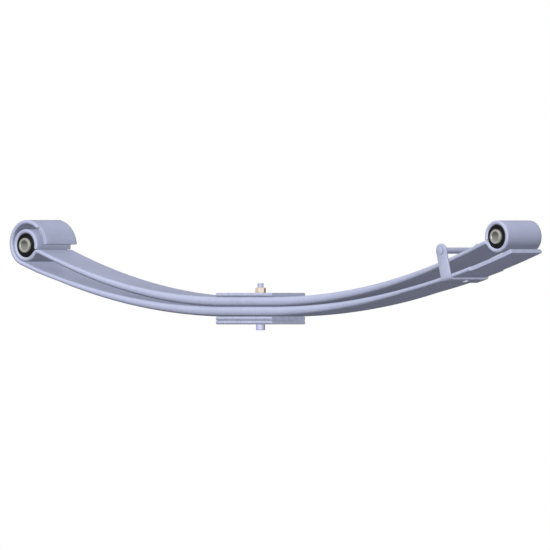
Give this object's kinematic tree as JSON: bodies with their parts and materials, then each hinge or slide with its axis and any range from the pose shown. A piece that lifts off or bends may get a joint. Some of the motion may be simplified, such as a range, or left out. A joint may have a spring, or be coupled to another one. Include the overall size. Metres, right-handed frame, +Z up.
{
  "type": "leaf spring",
  "caption": "Parabolic leaf spring with rolled rubber-bushed eyes, a wrapped second leaf, a centre bolt pack and a rebound clip.",
  "frame": {"origin": "on the centre bolt's axis, at the underside of the lowest plate, where the axle's spring seat is", "axes": "+X along the spring from the left eye to the right eye, +Z up, from the axle seat to the eyes, +Y across the leaves"},
  "size_m": [0.8834, 0.0795, 0.1394],
  "materials": {
    "spring_steel": "satin",
    "plate_steel": "satin",
    "bolt_steel": "satin",
    "nut_steel": "satin",
    "rubber": "matte",
    "sleeve_steel": "satin",
    "clip_steel": "satin"
  },
  "bodies": {
    "seat": {"main_leaf": "spring_steel", "second_leaf": "spring_steel", "top_plate": "plate_steel", "upper_bottom_plate": "plate_steel", "lower_bottom_plate": "plate_steel", "centre_bolt": "bolt_steel", "centre_nut": "nut_steel"},
    "left_arm": {"left_bush_shell": "plate_steel", "left_bush_rubber": "rubber"},
    "right_arm": {"right_bush_shell": "plate_steel", "right_bush_rubber": "rubber", "clip_strap": "clip_steel", "clip_rivet": "clip_steel", "clip_bolt": "clip_steel", "clip_tube": "clip_steel", "clip_nut": "clip_steel"},
    "left_sleeve": {"left_bush_sleeve": "sleeve_steel"},
    "right_sleeve": {"right_bush_sleeve": "sleeve_steel"}
  },
  "joints": [
    {"name": "left_arm_flex", "type": "hinge", "parent": "seat", "child": "left_arm", "pos_m": [-0.1331, 0, 0.0345], "axis": [0, -1, 0], "range_deg": [-2.5, 10.5], "stiffness_Nm_per_rad": 10800, "deforming": ["main_leaf", "second_leaf"]},
    {"name": "right_arm_flex", "type": "hinge", "parent": "seat", "child": "right_arm", "pos_m": [0.1484, 0, 0.0335], "axis": [0, 1, 0], "range_deg": [-2.5, 12], "stiffness_Nm_per_rad": 9100, "deforming": ["main_leaf", "second_leaf"]},
    {"name": "left_bush_twist", "type": "hinge", "parent": "left_arm", "child": "left_sleeve", "pos_m": [-0.385, 0, 0.1], "axis": [0, 1, 0], "range_deg": [-15, 15], "stiffness_Nm_per_rad": 80},
    {"name": "right_bush_twist", "type": "hinge", "parent": "right_arm", "child": "right_sleeve", "pos_m": [0.446, 0, 0.111], "axis": [0, 1, 0], "range_deg": [-15, 15], "stiffness_Nm_per_rad": 80}
  ]
}
